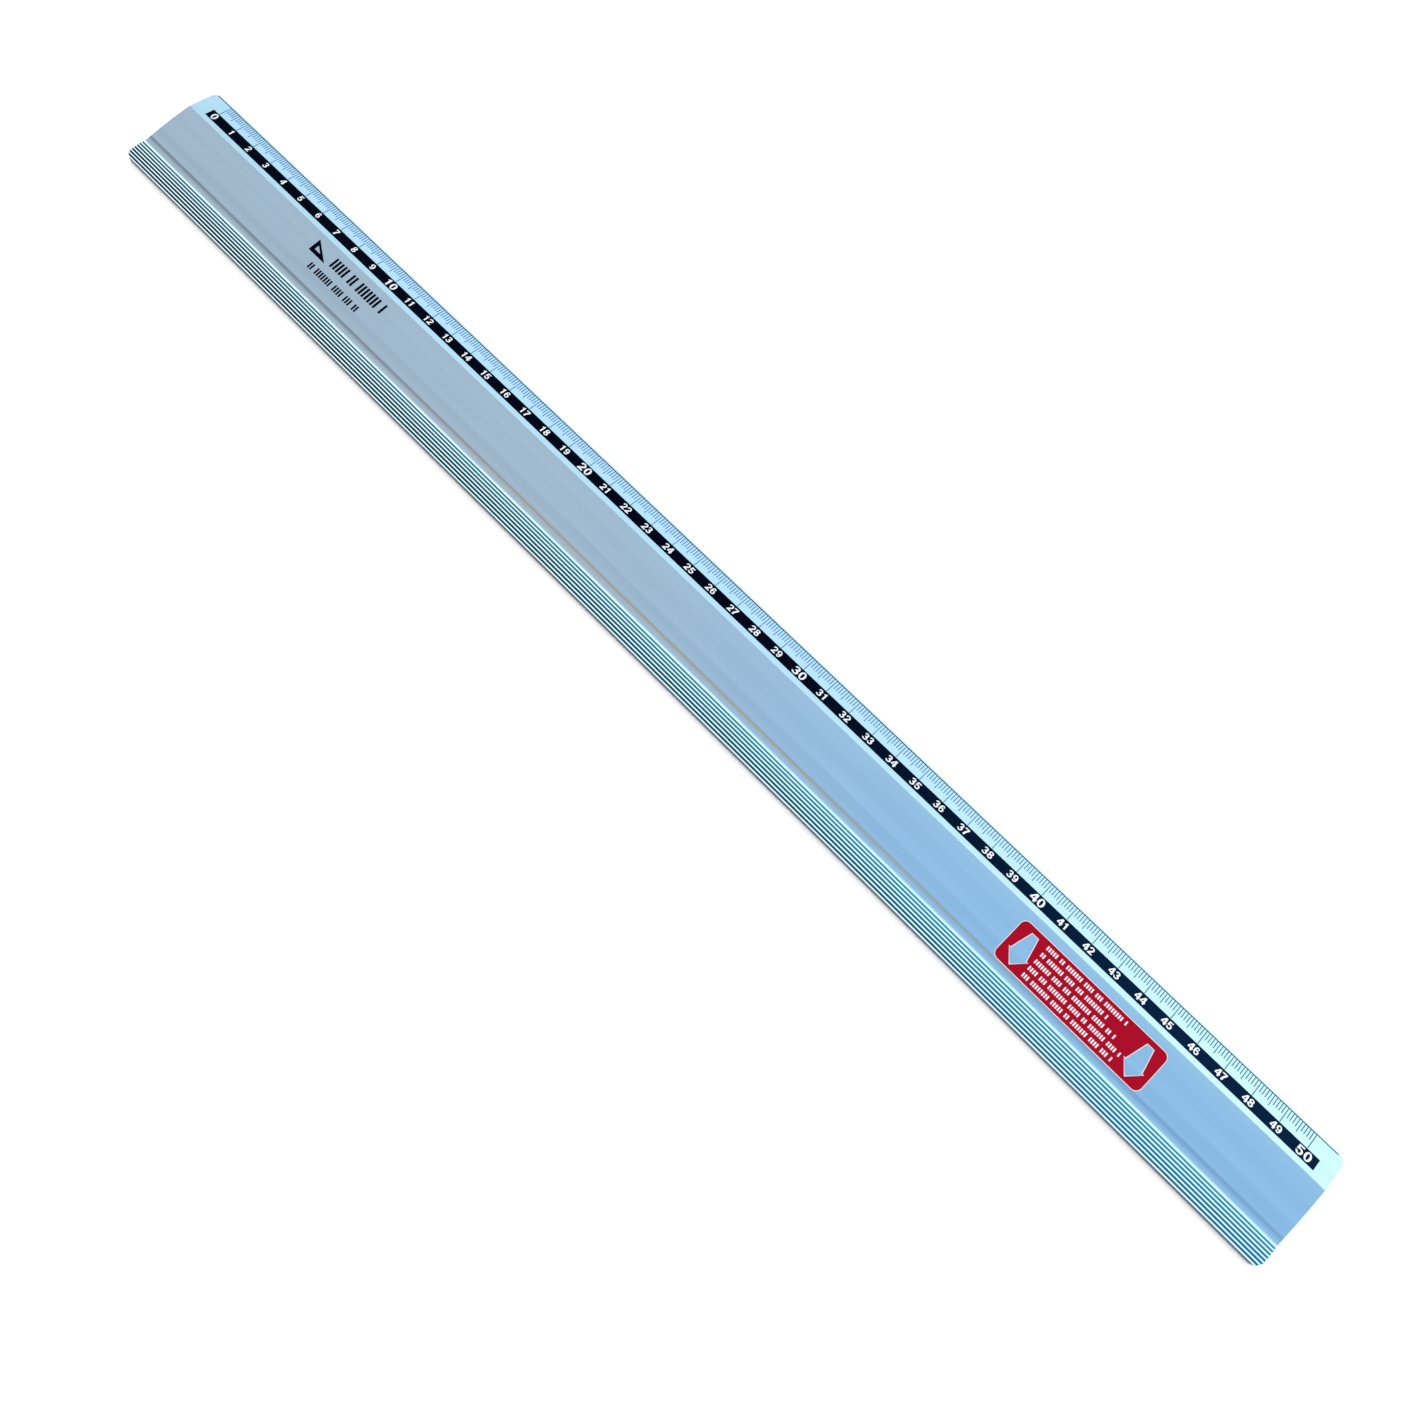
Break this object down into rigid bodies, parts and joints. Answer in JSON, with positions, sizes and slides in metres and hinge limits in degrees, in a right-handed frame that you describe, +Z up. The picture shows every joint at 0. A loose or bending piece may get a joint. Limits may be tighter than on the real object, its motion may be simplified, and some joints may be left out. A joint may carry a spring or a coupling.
{
  "type": "cutting ruler",
  "caption": "Straight aluminium cutting ruler with a bevelled centimetre scale, a broad face, a ribbed grip, a steel cutting edge and anti-slip strips underneath.",
  "frame": {"origin": "middle of the ruler's rectangular footprint, on the surface that it lies on, which is the underside of the two anti-slip strips", "axes": "+X along the ruler, the way its numbers grow; +Y across it towards the thin scale edge, so -Y is the steel cutting edge; +Z up, out of the printed face"},
  "size_m": [0.5196, 0.0414, 0.0036],
  "materials": {
    "anodised_aluminium": "satin, clear anodised with a pale blue cast",
    "stainless_steel": "fine longitudinal grain",
    "antislip_vinyl": "matte soft PVC",
    "scale_ink": "printed, matte",
    "band_ink": "printed, satin",
    "red_label": "printed vinyl film, satin"
  },
  "bodies": {
    "root": {"ruler_body": "anodised_aluminium", "steel_cutting_edge": "stainless_steel", "antislip_strip_scale_side": "antislip_vinyl", "antislip_strip_grip_side": "antislip_vinyl", "scale_print": "scale_ink", "number_band": "band_ink", "cutting_edge_label": "red_label"}
  },
  "joints": []
}
